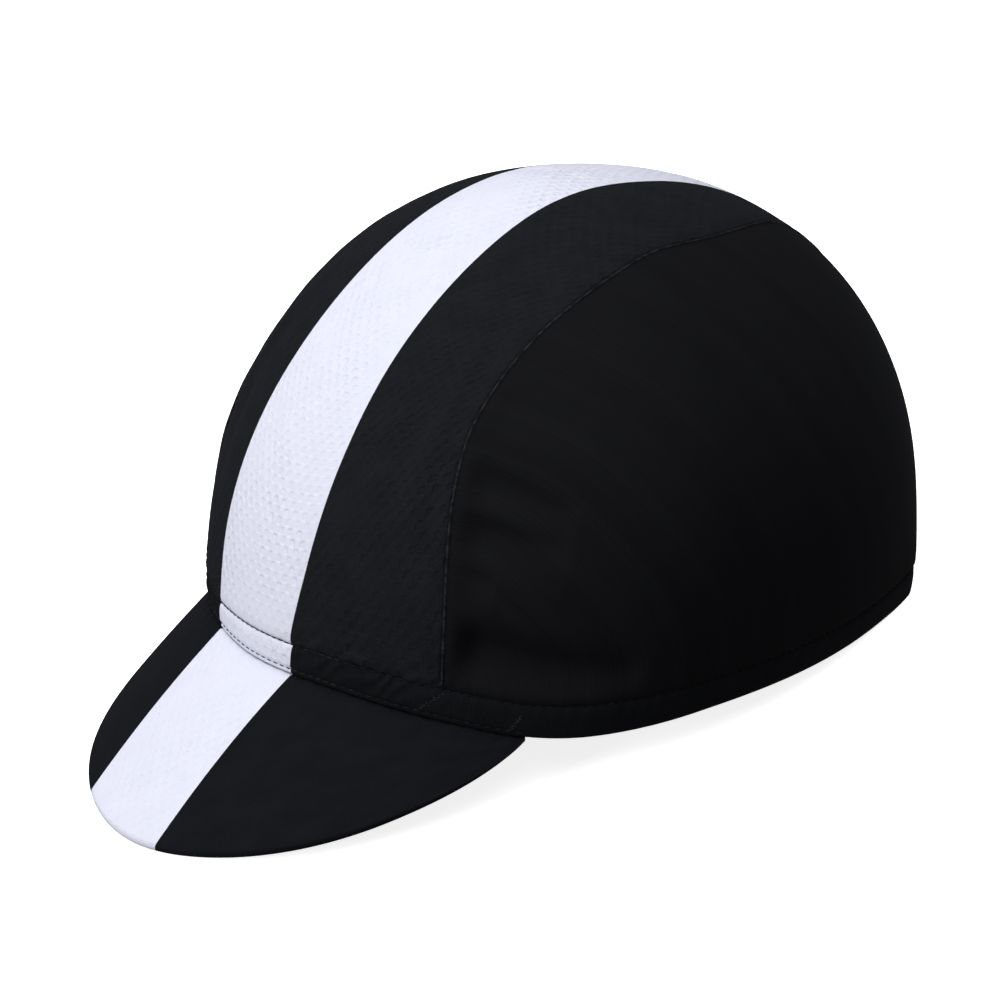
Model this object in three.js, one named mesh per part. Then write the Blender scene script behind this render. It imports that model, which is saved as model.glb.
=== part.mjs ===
// A soft cap with a three-panel crown, a sewn hem band and a short curved peak.
// Millimetres, +Z up. The peak points to -Y, the wearer's left is +X, and the cap rests on z = 0.
import * as THREE from "three";

// Head opening, measured at the lower edge of the hem
const HALF_WIDTH = 77;
const FRONT_DEPTH = 75;
const REAR_DEPTH = 110.5;
const FRONT_SQUARENESS = 2.0; // power of the plan curve: 2 is an ellipse, more is squarer
const REAR_SQUARENESS = 2.2;

// Crown, measured from the level of the hem at the sides
const CROWN_HEIGHT = 109.5;
const FRONT_POWER = 1.9; // power of the upright curve at the front, the rear and the sides
const REAR_POWER = 2.2;
const SIDE_POWER = 2.2;
const SIDE_SWELL = 0.22; // how far the sides swell past their curve, as a share of the half width
const REAR_SWELL = -0.03;
const SWELL_FADE = 0.3; // share of the swell that is lost towards the top
const TOP_SHIFT = 14; // how far the crown's top lies behind the widest section
const LEAN_POWER = 2.25; // how late, going up, the crown moves back to that place

// Cloth, hem and the gap that neighbours keep
const CLOTH = 1.2;
const HEM_HEIGHT = 9.5;
const HEM_THICKNESS = 2.2;
const HEM_PROUD = 0.5;
const GAP = 0.3;
const CLOTH_COLOUR = 0x17191e;
const CLOTH_ROUGHNESS = 0.92;
const PEAK_ROUGHNESS = 0.85;

// Peak
const PEAK_HALF_WIDTH = 64.5;
const PEAK_LENGTH = 47;
const PEAK_SLOPE = 38; // degrees below level
const PEAK_DROP = 6; // extra fall of the free edge, as the peak curves down
const PEAK_SPREAD = 0.1; // how far the free edge spreads sideways, as a share of its reach
const PEAK_INNER_POWER = 2.2;
const PEAK_OUTER_POWER = 1.4;
const PEAK_THICKNESS = 2.6;
const PEAK_CORNER = 2.5; // reach left at the two corners

// How far the cloth gives where the cap rests
const HEM_PRESS = 2.5;
const PEAK_PRESS = 0.6;

// Divisions of the meshes
const RING_STEPS = 108;
const PANEL_ROWS = 44;
const PANEL_COLUMNS = 12;
const SIDE_ROWS = 21;
const SIDE_COLUMNS = 34;
const PEAK_COLUMNS = 40;
const PEAK_ROWS = 10;
const HEM_ROWS = 2;

// Steps and limits of what is worked out by small differences or by halving
const ANGLE_STEP = 0.004; // radians, and shares of the rise
const PEAK_STEP = 0.01;
const TOP_RISE = 0.9985; // as near the crown's top as its normal can be worked out
const TOP_SAMPLE = 0.999;
const TINY = 1e-6;
const MOST_PITCH = Math.PI / 6;
const HALVINGS = 40;

// Height of the hem's lower edge round the head: degrees from the front, share of the crown height
const HEM_EDGE = [
  { at: 0, height: 0.038 },
  { at: 22, height: 0.044 },
  { at: 45, height: 0.017 },
  { at: 68, height: -0.012 },
  { at: 90, height: 0.005 },
  { at: 115, height: 0.024 },
  { at: 145, height: 0.062 },
  { at: 180, height: 0.086 },
];

// The seam between the middle and side panels: share of the way from front to rear, and the middle
// panel's half width there as a share of the crown's plan circle
const SEAM = [
  { at: 0.0, half: 0.662 },
  { at: 0.03, half: 0.582 },
  { at: 0.06, half: 0.505 },
  { at: 0.09, half: 0.44 },
  { at: 0.13, half: 0.383 },
  { at: 0.18, half: 0.352 },
  { at: 0.24, half: 0.334 },
  { at: 0.32, half: 0.322 },
  { at: 0.4, half: 0.306 },
  { at: 0.48, half: 0.282 },
  { at: 0.53, half: 0.248 },
  { at: 0.58, half: 0.205 },
  { at: 0.64, half: 0.172 },
  { at: 0.74, half: 0.16 },
  { at: 0.87, half: 0.19 },
  { at: 1.0, half: 0.26 },
];

// Where the seam leaves the front and the rear and runs over the top, as shares of the way to the rear
const SEAM_FRONT = 0.14;
const SEAM_REAR = 0.86;

// Soft folds that start at the front of each side panel's seam and run back. Angles are degrees from the
// front, rises are shares of the way up the crown, and a positive depth is a hollow
const FOLD_DEPTH = 1.7;
const FOLD_WIDTH = 7;
const FOLD_START = 0.2; // share of its run in which a fold reaches its depth
const FOLD_FADE = 0.7; // power of its fading over the rest
const CROWN_ARC = 1.3 * CROWN_HEIGHT; // rough length over the crown from the hem to the top
const FOLDS = [
  { from: 39, fromRise: 0.354, to: 53, toRise: 0.33, depth: 0.9, width: 0.9 },
  { from: 39, fromRise: 0.318, to: 54, toRise: 0.296, depth: -0.5, width: 0.8 },
  { from: 39, fromRise: 0.281, to: 53, toRise: 0.273, depth: 0.8, width: 0.8 },
  { from: 40, fromRise: 0.419, to: 53, toRise: 0.36, depth: -0.5, width: 1 },
  { from: 42, fromRise: 0.14, to: 68, toRise: 0.127, depth: 1, width: 1.1 },
  { from: 42, fromRise: 0.1, to: 66, toRise: 0.085, depth: -0.4, width: 0.8 },
  { from: 44, fromRise: 0.51, to: 58, toRise: 0.47, depth: -0.4, width: 1.1 },
];

const { sin, cos, sqrt, abs, PI } = Math;
const radians = THREE.MathUtils.degToRad;
const lerp = THREE.MathUtils.lerp;

// A smooth curve through a table's rows, read at x
function readTable(rows, column, x) {
  const last = rows.length - 2;
  let i = 0;
  while (i < last && rows[i + 1].at < x) i++;
  const slope = (k) => {
    const a = rows[Math.max(k - 1, 0)];
    const b = rows[Math.min(k + 1, rows.length - 1)];
    return (b[column] - a[column]) / (b.at - a.at);
  };
  const [p, q] = [rows[i], rows[i + 1]];
  const span = q.at - p.at;
  const s = THREE.MathUtils.clamp((x - p.at) / span, 0, 1);
  const [s2, s3] = [s * s, s * s * s];
  return (
    (2 * s3 - 3 * s2 + 1) * p[column] +
    (s3 - 2 * s2 + s) * span * slope(i) +
    (3 * s2 - 2 * s3) * q[column] +
    (s3 - s2) * span * slope(i + 1)
  );
}

// Height of the hem's lower edge at an angle from the front
function hemEdge(angle) {
  const around = Math.acos(THREE.MathUtils.clamp(cos(angle), -1, 1));
  return CROWN_HEIGHT * readTable(HEM_EDGE, "height", THREE.MathUtils.radToDeg(around));
}

// Quarter of a superellipse, from 1 at rise 0 to 0 at rise 1
const quarter = (rise, power) => Math.max(1 - rise ** power, 0) ** (1 / power);

// Point of the crown's smooth outer face: angle from the front, and rise from 0 at the hem's edge to 1
// at the top
function crownPoint(angle, rise) {
  const turn = (rise * PI) / 2;
  const up = sin(turn);
  const front = cos(angle) > 0;
  const power = front ? FRONT_SQUARENESS : REAR_SQUARENESS;
  const plan = (abs(cos(angle)) ** power + abs(sin(angle)) ** power) ** (-1 / power);
  const swell = sin(2 * turn) * (1 - SWELL_FADE * up);
  const side = quarter(up, SIDE_POWER) * (1 + SIDE_SWELL * swell);
  const end = front
    ? quarter(up, FRONT_POWER)
    : quarter(up, REAR_POWER) * (1 + REAR_SWELL * swell);
  const depth = front ? FRONT_DEPTH : REAR_DEPTH;
  return new THREE.Vector3(
    HALF_WIDTH * plan * sin(angle) * side,
    -depth * plan * cos(angle) * end + TOP_SHIFT * up ** LEAN_POWER,
    lerp(hemEdge(angle), CROWN_HEIGHT, up),
  );
}

// Outward unit normal of the crown
function crownNormal(angle, rise) {
  const low = Math.max(rise - ANGLE_STEP, 0);
  const high = Math.min(rise + ANGLE_STEP, TOP_SAMPLE);
  const across = crownPoint(angle + ANGLE_STEP, rise).sub(crownPoint(angle - ANGLE_STEP, rise));
  const upward = crownPoint(angle, high).sub(crownPoint(angle, low));
  return across.cross(upward).normalize();
}

// Point at a distance out from the crown's smooth outer face
function offCrown(angle, rise, out) {
  return crownPoint(angle, rise).addScaledVector(crownNormal(angle, rise), out);
}

// How deep the folds are at a place on the crown, the same on both sides
function foldDepth(angle, rise) {
  const degrees = abs(THREE.MathUtils.radToDeg(angle));
  return FOLDS.reduce((sum, fold) => {
    const run = (degrees - fold.from) / (fold.to - fold.from);
    if (run <= 0 || run >= 1) return sum;
    const away = (rise - lerp(fold.fromRise, fold.toRise, run)) * CROWN_ARC;
    const fade = Math.min(1, run / FOLD_START) * (1 - run) ** FOLD_FADE;
    return sum + FOLD_DEPTH * fold.depth * fade * Math.exp(-((away / (FOLD_WIDTH * fold.width)) ** 2));
  }, 0);
}

// Rise that lies a height above the hem's lower edge
function riseAt(angle, height) {
  return (2 / PI) * Math.asin(height / (CROWN_HEIGHT - hemEdge(angle)));
}

// The panels are laid out on a plan circle: radius 1 at the top of the hem, 0 at the crown's top
function onPlan(across, along, out) {
  const radius = Math.min(Math.hypot(across, along), 1);
  const angle = radius > TINY ? Math.atan2(across, -along) : PI / 2;
  const start = riseAt(angle, HEM_HEIGHT + GAP);
  const rise = Math.min(lerp(1, start, radius), TOP_RISE);
  return offCrown(angle, rise, out - foldDepth(angle, rise));
}

// Half width of the middle panel on the plan circle, and how far front to rear it is
const seamHalf = (share) => readTable(SEAM, "half", share);
const frontEnd = (half) => -sqrt(1 - half * half);
const rearEnd = (half) => sqrt(1 - half * half);

// Plan point of the middle panel, or of the seam at share 1 across
function planOfMiddle(share, acrossShare) {
  const across = acrossShare * seamHalf(share);
  const front = frontEnd(acrossShare * seamHalf(0));
  const rear = rearEnd(acrossShare * seamHalf(1));
  return [across, lerp(front, rear, share)];
}

// Closed wall between two grids of points with the same rows and columns
function wallBetween(outer, inner, ring = false) {
  const rows = outer.length;
  const columns = outer[0].length;
  const points = [...outer.flat(), ...inner.flat()];
  const faces = [];
  const id = (side, i, k) => side * rows * columns + (i % rows) * columns + k;
  const quad = (a, b, c, d) => faces.push(a, b, c, a, c, d);
  const spans = ring ? rows : rows - 1;
  for (let i = 0; i < spans; i++) {
    for (let k = 0; k < columns - 1; k++) {
      quad(id(0, i, k), id(0, i + 1, k), id(0, i + 1, k + 1), id(0, i, k + 1));
      quad(id(1, i, k), id(1, i, k + 1), id(1, i + 1, k + 1), id(1, i + 1, k));
    }
    const k = columns - 1;
    quad(id(0, i, 0), id(1, i, 0), id(1, i + 1, 0), id(0, i + 1, 0));
    quad(id(0, i, k), id(0, i + 1, k), id(1, i + 1, k), id(1, i, k));
  }
  if (!ring) {
    const i = rows - 1;
    for (let k = 0; k < columns - 1; k++) {
      quad(id(0, 0, k), id(0, 0, k + 1), id(1, 0, k + 1), id(1, 0, k));
      quad(id(0, i, k), id(1, i, k), id(1, i, k + 1), id(0, i, k + 1));
    }
  }
  const geometry = new THREE.BufferGeometry().setFromPoints(points.map(ontoFloor));
  geometry.setIndex(faces);
  geometry.computeVertexNormals();
  return geometry;
}

// Grid of points, one row for each share along and one column for each share across
function grid(rows, columns, point) {
  return Array.from({ length: rows + 1 }, (_, i) =>
    Array.from({ length: columns + 1 }, (_, k) => point(i / rows, k / columns)),
  );
}

// Hem band: a ring from the hem's lower edge up, a little proud of the panels
function hemGrid(out) {
  const point = (share, up) => {
    const angle = 2 * PI * share;
    return offCrown(angle, riseAt(angle, up * HEM_HEIGHT), out);
  };
  return grid(RING_STEPS, HEM_ROWS, point).slice(0, -1);
}

// Peak: each line across runs forward from the hem's lower edge and falls as it goes
const cornerAngle = Math.asin(PEAK_HALF_WIDTH / HALF_WIDTH);

function peakLine(share, out) {
  const angle = cornerAngle * (2 * share - 1);
  const root = offCrown(angle, 0, out);
  root.z -= GAP;
  return root;
}

function peakTop(share, reachShare) {
  const side = 2 * share - 1;
  const bulk = (1 - abs(side) ** PEAK_INNER_POWER) ** (1 / PEAK_OUTER_POWER);
  const reach = lerp(PEAK_CORNER, PEAK_LENGTH, bulk) * reachShare;
  const slope = radians(PEAK_SLOPE);
  return peakLine(share, HEM_PROUD).add(
    new THREE.Vector3(
      PEAK_SPREAD * side * reach,
      -cos(slope) * reach,
      -sin(slope) * reach - PEAK_DROP * (reach / PEAK_LENGTH) ** 2,
    ),
  );
}

function peakNormal(share, reachShare) {
  const [a, b] = [Math.max(share - PEAK_STEP, 0), Math.min(share + PEAK_STEP, 1)];
  const [c, d] = [Math.max(reachShare - PEAK_STEP, 0), Math.min(reachShare + PEAK_STEP, 1)];
  const across = peakTop(b, reachShare).sub(peakTop(a, reachShare));
  const forward = peakTop(share, d).sub(peakTop(share, c));
  return forward.cross(across).normalize();
}

// The first column lies under the hem's inner edge, the rest run out to the free edge
function peakGrid(lower) {
  const point = (share, k) => {
    const reachShare = Math.max(k * (PEAK_ROWS + 1) - 1, 0) / PEAK_ROWS;
    if (k === 0) {
      const root = peakLine(share, HEM_PROUD - HEM_THICKNESS);
      root.z -= lower ? PEAK_THICKNESS / cos(radians(PEAK_SLOPE)) : 0;
      return root;
    }
    const top = peakTop(share, reachShare);
    return lower ? top.addScaledVector(peakNormal(share, reachShare), -PEAK_THICKNESS) : top;
  };
  return grid(PEAK_COLUMNS, PEAK_ROWS + 1, point);
}

// The level that the cap rests on: its pitch puts the peak's edge and the rear of the hem on one floor
function restingPitch() {
  const hem = hemGrid(HEM_PROUD).concat(hemGrid(HEM_PROUD - HEM_THICKNESS)).flat();
  const peak = peakGrid(false).concat(peakGrid(true)).flat();
  const lowest = (points, pitch) =>
    Math.min(...points.map((p) => p.y * sin(pitch) + p.z * cos(pitch)));
  let [low, high] = [-MOST_PITCH, MOST_PITCH];
  for (let i = 0; i < HALVINGS; i++) {
    const pitch = (low + high) / 2;
    const peakIsHigher = lowest(peak, pitch) + PEAK_PRESS > lowest(hem, pitch) + HEM_PRESS;
    [low, high] = peakIsHigher ? [pitch, high] : [low, pitch];
  }
  const pitch = (low + high) / 2;
  return { pitch, level: lowest(hem, pitch) + HEM_PRESS };
}

const floor = restingPitch();
const floorNormal = new THREE.Vector3(0, sin(floor.pitch), cos(floor.pitch));

// What would reach through the floor is pressed flat on it
function ontoFloor(point) {
  const above = point.dot(floorNormal) - floor.level;
  return above < 0 ? point.clone().addScaledVector(floorNormal, -above) : point;
}

// Middle panel: rows from the front hem to the rear hem, columns from seam to seam
function middleGrid(out) {
  const point = (share, acrossShare) => {
    const [across, along] = planOfMiddle(share, lerp(1, -1, acrossShare) * middleTrim(share));
    return onPlan(across, along, out);
  };
  return grid(PANEL_ROWS, PANEL_COLUMNS, point);
}

// Share of the half width that leaves half the gap at the seam
function middleTrim(share) {
  const [across, along] = planOfMiddle(share, 1);
  const width = onPlan(across, along, 0).x;
  return 1 - GAP / 2 / width;
}

// Side panel: a four-sided patch of the plan circle, bounded by the hem, the seam's front and rear
// stretches, and the seam over the top
function sideGrid(out, side) {
  const seam = (share) => {
    const [across, along] = planOfMiddle(share, 1 / middleTrim(share));
    return new THREE.Vector2(across, along);
  };
  const startAngle = Math.atan2(seam(0).x, -seam(0).y);
  const endAngle = Math.atan2(seam(1).x, -seam(1).y);
  const hem = (s) => {
    const angle = lerp(startAngle, endAngle, s);
    return new THREE.Vector2(sin(angle), -cos(angle));
  };
  const top = (s) => seam(lerp(SEAM_FRONT, SEAM_REAR, s));
  const front = (t) => seam(lerp(0, SEAM_FRONT, t));
  const rear = (t) => seam(lerp(1, SEAM_REAR, t));
  const point = (t, s) => {
    const ruled = hem(s).lerp(top(s), t).add(front(t).lerp(rear(t), s));
    const corners = hem(0).lerp(top(0), t).lerp(hem(1).lerp(top(1), t), s);
    const plan = ruled.sub(corners);
    const place = onPlan(plan.x, plan.y, out);
    place.x *= side;
    return place;
  };
  return grid(SIDE_ROWS, SIDE_COLUMNS, point);
}

// One named mesh for each piece
function cloth(name, geometry, roughness = CLOTH_ROUGHNESS) {
  const material = new THREE.MeshStandardMaterial({ color: CLOTH_COLOUR, roughness, metalness: 0 });
  const mesh = new THREE.Mesh(geometry, material);
  mesh.name = name;
  return mesh;
}

function centrePanel() {
  return cloth("centre_panel", wallBetween(middleGrid(0), middleGrid(-CLOTH)));
}

function sidePanel(name, side) {
  const [outer, inner] = [sideGrid(0, side), sideGrid(-CLOTH, side)];
  return cloth(name, side > 0 ? wallBetween(inner, outer) : wallBetween(outer, inner));
}

function hemBand() {
  return cloth("hem_band", wallBetween(hemGrid(HEM_PROUD), hemGrid(HEM_PROUD - HEM_THICKNESS), true));
}

function peak() {
  return cloth("peak", wallBetween(peakGrid(true), peakGrid(false)), PEAK_ROUGHNESS);
}

const cap = new THREE.Group();
cap.add(centrePanel(), sidePanel("side_panel_left", 1), sidePanel("side_panel_right", -1));
cap.add(hemBand(), peak());

// Set down on the floor, with the middle of its box over the origin
cap.rotation.x = floor.pitch;
cap.position.z = -floor.level;
cap.updateMatrixWorld(true);
const box = new THREE.Box3().setFromObject(cap, true);
cap.position.y = -(box.min.y + box.max.y) / 2;

export default cap;
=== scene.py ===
# A soft cycling cap: a three-panel knit crown, a sewn hem band, a short curved peak and a printed stripe.
# Metres, +Z up. The peak points to -Y, the wearer's left is +X, and the cap rests on z = 0.
import math

import bmesh
import bpy
import numpy as np
from bpy.props import FloatProperty, FloatVectorProperty, PointerProperty
from mathutils import Matrix, Vector, kdtree


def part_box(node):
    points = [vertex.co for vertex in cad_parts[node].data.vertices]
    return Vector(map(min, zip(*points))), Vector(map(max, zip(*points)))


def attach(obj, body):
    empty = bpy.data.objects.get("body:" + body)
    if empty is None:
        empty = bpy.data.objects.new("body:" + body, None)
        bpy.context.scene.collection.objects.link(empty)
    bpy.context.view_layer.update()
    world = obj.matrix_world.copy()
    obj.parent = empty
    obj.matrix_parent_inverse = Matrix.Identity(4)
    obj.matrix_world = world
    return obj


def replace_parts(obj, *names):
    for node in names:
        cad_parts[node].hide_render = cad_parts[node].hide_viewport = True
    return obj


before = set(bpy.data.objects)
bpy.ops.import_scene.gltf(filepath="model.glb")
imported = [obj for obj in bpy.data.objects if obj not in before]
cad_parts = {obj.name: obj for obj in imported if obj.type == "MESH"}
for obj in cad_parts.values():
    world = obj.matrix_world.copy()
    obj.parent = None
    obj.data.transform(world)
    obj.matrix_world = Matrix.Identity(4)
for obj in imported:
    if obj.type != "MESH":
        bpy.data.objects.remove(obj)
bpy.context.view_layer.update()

bl_info = {
    "name": "Cycling Cap",
    "version": (1, 0, 0),
    "blender": (4, 5, 0),
    "location": "View3D > Sidebar > Cap",
    "description": "Builds a soft three-panel cycling cap with a hem, a curved peak and a printed stripe",
    "category": "Add Mesh",
}

MM = 0.001
TAU = 2 * math.pi


def table(columns, *rows):
    """Rows whose values are read by the names of their columns"""
    return [dict(zip(columns.split(), row)) for row in rows]


# Powers of the crown's curves, and its swell as a share of its half width or depth
FRONT_SQUARENESS = 2.0
REAR_SQUARENESS = 2.2
FRONT_POWER = 1.9
REAR_POWER = 2.2
SIDE_POWER = 2.2
SIDE_SWELL = 0.22
REAR_SWELL = -0.03
SWELL_FADE = 0.3
LEAN_POWER = 2.25

# Rise where the crown's grids end short of its very top, and the step that its normals are measured over
TOP_RISE = 0.9985
RISE_STEP = 0.004

# Powers of the peak's outline, how far its free edge spreads, and how its corners thin
PEAK_INNER_POWER = 2.2
PEAK_OUTER_POWER = 1.36
PEAK_SPREAD = 0.1
PEAK_CORNER_POWER = 16
PEAK_CORNER_LEAST = 0.01

# Power of the turned hem's section
HEM_POWER = 3.2

# Height of the hem's lower edge: degrees from the front, share of the crown height
HEM_EDGE = table(
    "at height",
    (0, 0.038),
    (22, 0.04),
    (45, 0.0095),
    (57, -0.0125),
    (68, -0.018),
    (90, -0.002),
    (115, 0.02),
    (145, 0.06),
    (180, 0.086),
)

# The seam between the middle and side panels: share of the way from front to rear, half width of the
# middle panel as a share of the crown's plan circle
SEAM = table(
    "at half",
    (0.0, 0.662),
    (0.03, 0.582),
    (0.06, 0.505),
    (0.09, 0.44),
    (0.13, 0.383),
    (0.18, 0.352),
    (0.24, 0.334),
    (0.32, 0.322),
    (0.4, 0.306),
    (0.48, 0.282),
    (0.53, 0.248),
    (0.58, 0.205),
    (0.64, 0.172),
    (0.74, 0.16),
    (0.87, 0.19),
    (1.0, 0.26),
)

# Half width of the printed stripe on the crown: share of the way from front to rear, share of its
# width on the peak
STRIPE = table(
    "at width",
    (0.0, 1.0),
    (0.05, 1.11),
    (0.13, 1.12),
    (0.21, 1.055),
    (0.31, 0.98),
    (0.4, 0.915),
    (0.5, 0.84),
    (0.6, 0.725),
    (0.7, 0.74),
    (0.85, 0.93),
    (1.0, 1.0),
)

# Soft folds of the side panels: degrees from the front where they end, rises up the crown at the seam
# and at the end, depth and width as shares of the named fold; a positive depth is a hollow
FOLDS = table(
    "end seam_rise end_rise depth width",
    (58.5, 0.352, 0.308, 0.65, 0.85),
    (58.0, 0.278, 0.26, 0.65, 0.85),
    (47.0, 0.205, 0.205, 0.35, 0.7),
    (75.0, 0.122, 0.086, 1.15, 1.4),
    (62.0, 0.052, 0.05, 0.9, 0.6),
    (60.0, 0.47, 0.43, 0.25, 1.0),
)

# Degrees from the front where the folds start, the power they fade by on the way to their ends, and the
# length of a rise of 1 as a share of the crown height
FOLD_SEAM = 38
FOLD_FADE = 0.55
RISE_LENGTH = 1.3

# Upright creases of the middle panel: degrees from the front, rises where they end, depth and width
# as shares of the named fold; all lean by a few degrees over their height
CREASES = table(
    "at low high depth width",
    (35.5, 0.2, 0.52, 0.32, 0.32),
    (31.5, 0.24, 0.6, -0.16, 0.4),
    (26.0, 0.16, 0.5, 0.12, 0.5),
)
CREASE_LEAN = 3

# Slow waves of soft cloth: height, then rate and phase round the cap and up it
WAVES = table(
    "height round round_phase up up_phase",
    (0.22 * MM, 3.1, 1.3, 7.0, 0.4),
    (0.12 * MM, 7.3, 0.5, 12.0, 2.0),
)

# Small crumples of the front hem: where they start beside the stripe and end, how they fade, and their
# pitches across and upward, each bent by a slower wave
CRUMPLE = dict(start=4 * MM, end=62 * MM, fade=15 * MM, reach=4.5 * MM)
CRUMPLE_ACROSS = dict(pitch=0.62 * MM, bend=2.3 * MM, swing=2.2)
CRUMPLE_UP = dict(pitch=0.8 * MM, slant=2.1 * MM, bend=5 * MM, swing=1.5)

# How far from the upper stitches their puckers, the crown's puff and the dip beside them reach
PUCKER_REACH = 3.2 * MM
PUFF_START = 1.1 * MM
PUFF_REACH = 9 * MM
DIP_REACH = 0.45 * MM

# Section of a seam: the rolled edge of the side panel and the puff of the middle panel, place and width,
# and the width of the groove on each side
ROLL = dict(at=0.42 * MM, width=0.34 * MM, groove=0.18 * MM)
PUFF = dict(at=3.2 * MM, width=1.8 * MM, groove=0.4 * MM)

# The hem: how far it stays under the upper stitches, and the dent that the lower ones pull
HEM_UNDER = 0.05 * MM
HEM_DENT = dict(depth=0.3 * MM, width=0.45 * MM, fade=0.03)

# The peak's rounded edge as a share of half its thickness, and its root's length as a share of its width
PEAK_ROUND = 1.15
PEAK_ARC = 1.2

# Puckers that the stitches draw into the peak's root, and the slow wave of its cloth
PEAK_PUCKER = dict(height=0.16 * MM, pitch=4.6 * MM, bend=11 * MM, swing=1.4, reach=3.5 * MM)
PEAK_WAVE = dict(height=0.18 * MM, across=31 * MM, phase=0.6, along=15 * MM)

# Where the upper stitches sag, on the wearer's right of the front, and how wide, in radians
SAG_AT = -0.34
SAG_WIDTH = 0.24

# Stitches: points along and around each one, points of a tack, and the degrees from the front
# between which the thread is worn
STITCH_JOINTS = 6
STITCH_SIDES = 7
TACK_POINTS = 15
WORN_FROM = 13
WORN_TO = 23

# Tacks: their lean along the hem, the zigzag's width, where those at the seams and at the peak's corners
# start and end as shares of the lean, and the heights that the last run between
TACK_LEAN = 4.5 * MM
TACK_WIDTH = 1.5 * MM
SEAM_TACK = (-1, 0.3)
CORNER_TACK = (-0.85, -0.4)
CORNER_TACK_HEIGHTS = (1.4 * MM, 6.0 * MM)

# The hem spreads where it is pressed on the floor: degrees from the front, reach in degrees, and how
# blunt the middle of the spread is
SPREAD_AT = 143.5
SPREAD_REACH = 7.5
SPREAD_BLUNT = 0.006

# Height of the pressed cloth over the floor, half the floor's width, and the gap that the weld closes
FLOOR_CLEARANCE = 0.00002
FLOOR_HALF = 10.0
WELD = 1e-7

# Points of the grids: rows, and columns in and beside the stripe; round the cap and up a side panel;
# round the hem in and beside the stripe, and round its section; crowding is towards the peak's free edge
MIDDLE_GRID = dict(rows=260, stripe=12, beside=56)
SIDE_GRID = dict(round=170, up=120)
HEM_GRID = dict(stripe=25, side=420, section=48)
PEAK_GRID = dict(rows=56, stripe=14, beside=60, crowding=1.8)

# Points of the lines that the cap is set down by, and halvings of its pitch; points of the seam, and of
# the paths of the two rows of stitches
REST_ROUND = 721
REST_EDGE = 241
REST_HALVINGS = 40
SEAM_POINTS = 1600
UPPER_POINTS = 1441
LOWER_POINTS = 721

# Knits: pitch of the mesh's dimples across and along the cloth, the powers that shape them, the values
# between which their edges rise, and the pitch of the fine knit's ribs
DIMPLE_PITCH = (3.5 * MM, 4.2 * MM)
DIMPLE_POWER = (0.7, 1.1)
DIMPLE_EDGE = (-0.15, 0.6)
RIB_PITCH = 1.05 * MM

# Depth of the knits' relief, and how dark its hollows are
MESH = dict(depth=0.38 * MM, dark=0.12)
MESH_PRINT = dict(depth=0.38 * MM, dark=0.025)
PEAK_PRINT = dict(depth=0.22 * MM, dark=0.03, lift=0.95)
FINE = dict(depth=0.045 * MM, dark=0.11)

# Cells of the cloth's noise in a metre; the last sets both the wear of the dimples and the breaks of the
# painted seam highlight
PATCHES = 140.0
FIBRES = 2600.0
CLEARNESS = 45.0
WEAR_AND_HIGHLIGHT = 420.0

# Looks of black and printed cloth: spread of its patches and grain, the least clearness of its dimples,
# gloss and sheen
BLACK = dict(patches=0.12, grain=0.3, clear=0.3, gloss=0.035, sheen=0.009)
PRINTED = dict(patches=0.02, grain=0.04, clear=0.15, gloss=0.25, sheen=0.04)

# Names of the pieces, the solids that they take the place of, and a material slot's name for each
MIDDLE = dict(name="crown_middle", node="centre_panel", slot="mesh_knit")
SIDES = (
    dict(name="crown_side_left", node="side_panel_left", slot="fine_knit", side=1),
    dict(name="crown_side_right", node="side_panel_right", slot="fine_knit", side=-1),
)
HEM = dict(name="hem_band_cloth", node="hem_band", slot="hem_cloth")
PEAK = dict(name="peak_cloth", node="peak", slot="peak_cloth")


def length(description, metres):
    return FloatProperty(description=description, default=metres, unit="LENGTH", precision=5)


def angle(description, degrees):
    return FloatProperty(description=description, default=math.radians(degrees), unit="ROTATION")


def share(description, value):
    return FloatProperty(description=description, default=value, min=0.0)


def colour(description, value):
    return FloatVectorProperty(description=description, default=value, subtype="COLOR", min=0.0, max=1.0)


class CapForm(bpy.types.PropertyGroup):
    """Sizes of the crown, hem and peak"""

    half_width: length("Half width of the head opening", 0.077)
    front_depth: length("From the middle of the opening to its front", 0.075)
    rear_depth: length("From the middle of the opening to its rear", 0.1105)
    crown_height: length("Height of the crown over the hem at the sides", 0.1095)
    top_shift: length("How far the top lies behind the widest section", 0.014)
    cloth: length("Thickness of the panels' cloth", 0.0012)
    gap: length("Clearance between neighbouring solids", 0.0003)
    hem_height: length("Height of the hem solid", 0.0095)
    hem_thickness: length("Thickness of the turned hem", 0.0022)
    hem_proud: length("How far the hem stands off the panels", 0.0005)
    peak_half_width: length("Half width of the peak at its root", 0.0645)
    peak_length: length("Reach of the peak in the middle", 0.047)
    peak_slope: angle("Fall of the peak below level", 38)
    peak_drop: length("Extra fall of the free edge", 0.006)
    peak_thickness: length("Thickness of the covered peak", 0.0026)
    peak_corner: length("Reach left at the peak's two corners", 0.0025)
    hem_press: length("How far the hem gives where it rests", 0.0025)
    peak_press: length("How far the peak's edge gives where it rests", 0.0006)
    fold_depth: length("Depth of a soft fold", 0.0047)
    fold_width: length("Width of a soft fold's steep side", 0.0028)
    fold_run: length("Width of a soft fold's easy side", 0.0068)
    fold_start: length("How far from the seam a fold reaches its depth", 0.0042)
    spread: length("How far the hem spreads where it is pressed behind each side", 0.0032)
    spread_height: length("Height over which the spread fades", 0.016)
    spread_drop: length("How far the spread hem sinks", 0.0010)
    stripe: length("Half width of the printed stripe", 0.0168)


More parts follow.
